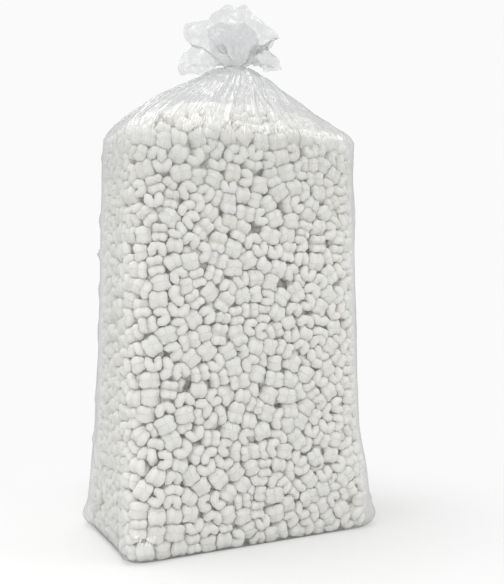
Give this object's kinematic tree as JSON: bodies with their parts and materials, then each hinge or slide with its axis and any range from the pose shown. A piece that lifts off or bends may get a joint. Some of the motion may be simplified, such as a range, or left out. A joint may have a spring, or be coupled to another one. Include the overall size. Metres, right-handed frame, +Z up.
{
  "type": "packing peanut bag",
  "caption": "Tall clear film bag full of loose foam packing peanuts, flat-footed, gathered at a narrow neck with a ruffled crown of film above.",
  "frame": {"origin": "on the floor, at the middle of the bag's overall width and depth", "axes": "+Z up from the flat foot to the crown, +X along the bag's width, -Y is the front"},
  "size_m": [0.4428, 0.248, 0.8739],
  "materials": {
    "film": "clear glossy low-density polyethylene film, slightly hazy",
    "foam": "matte off-white expanded foam loose fill"
  },
  "bodies": {
    "root": {"bag_film": "film", "peanut_heap": "foam", "peanut_01": "foam", "peanut_02": "foam", "peanut_03": "foam", "peanut_04": "foam", "peanut_05": "foam", "peanut_06": "foam", "peanut_07": "foam", "peanut_08": "foam", "peanut_09": "foam", "peanut_10": "foam", "peanut_11": "foam", "peanut_12": "foam"}
  },
  "joints": []
}
